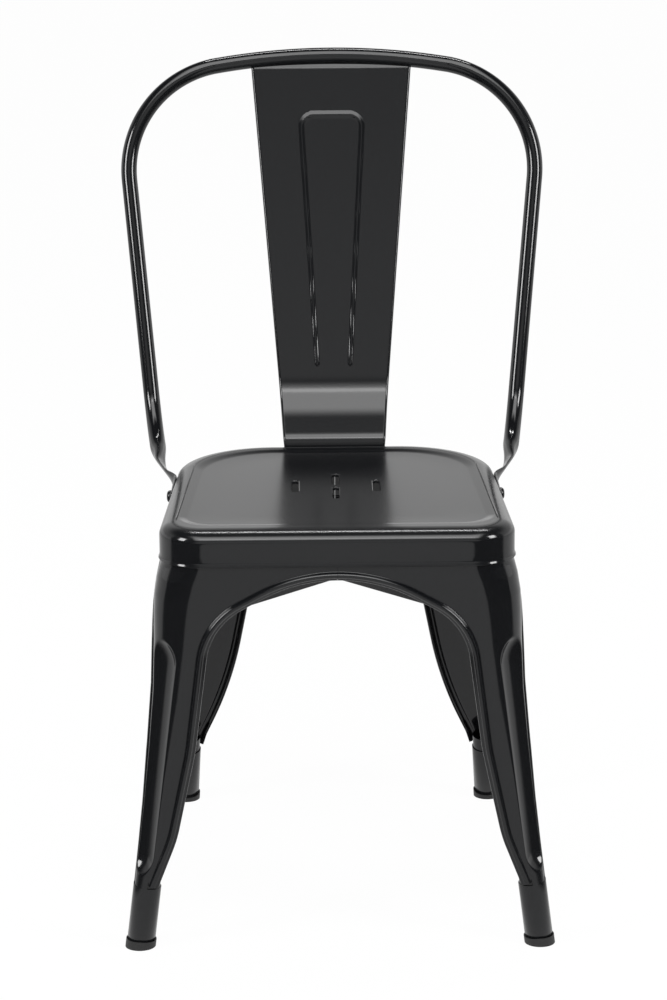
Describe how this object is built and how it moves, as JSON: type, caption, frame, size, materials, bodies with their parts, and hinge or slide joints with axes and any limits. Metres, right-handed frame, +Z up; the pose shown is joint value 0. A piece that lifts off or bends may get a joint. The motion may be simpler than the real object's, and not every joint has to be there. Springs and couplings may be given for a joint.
{
  "type": "metal bistro chair",
  "caption": "Stackable black metal bistro chair with a hooped tube back, a flat centre splat and fluted pressed sheet legs",
  "frame": {"origin": "On the floor, under the middle of the chair's bounding box, where the four foot glides rest", "axes": "+Z up, the chair faces -Y, X runs across the seat from the left seen from the front to the right"},
  "size_m": [0.4618, 0.5084, 0.8524],
  "materials": {
    "black_paint": "semi-gloss",
    "screw_steel": "semi-gloss",
    "glide_rubber": "matte"
  },
  "bodies": {
    "root": {"seat_pan": "black_paint", "front_leg_left": "black_paint", "front_leg_right": "black_paint", "rear_leg_left": "black_paint", "rear_leg_right": "black_paint", "back_hoop": "black_paint", "back_splat": "black_paint", "cross_brace_a": "black_paint", "cross_brace_b": "black_paint", "hoop_screws": "screw_steel", "hoop_nuts": "screw_steel", "foot_glide_front_left": "glide_rubber", "foot_glide_front_right": "glide_rubber", "foot_glide_rear_left": "glide_rubber", "foot_glide_rear_right": "glide_rubber"}
  },
  "joints": []
}
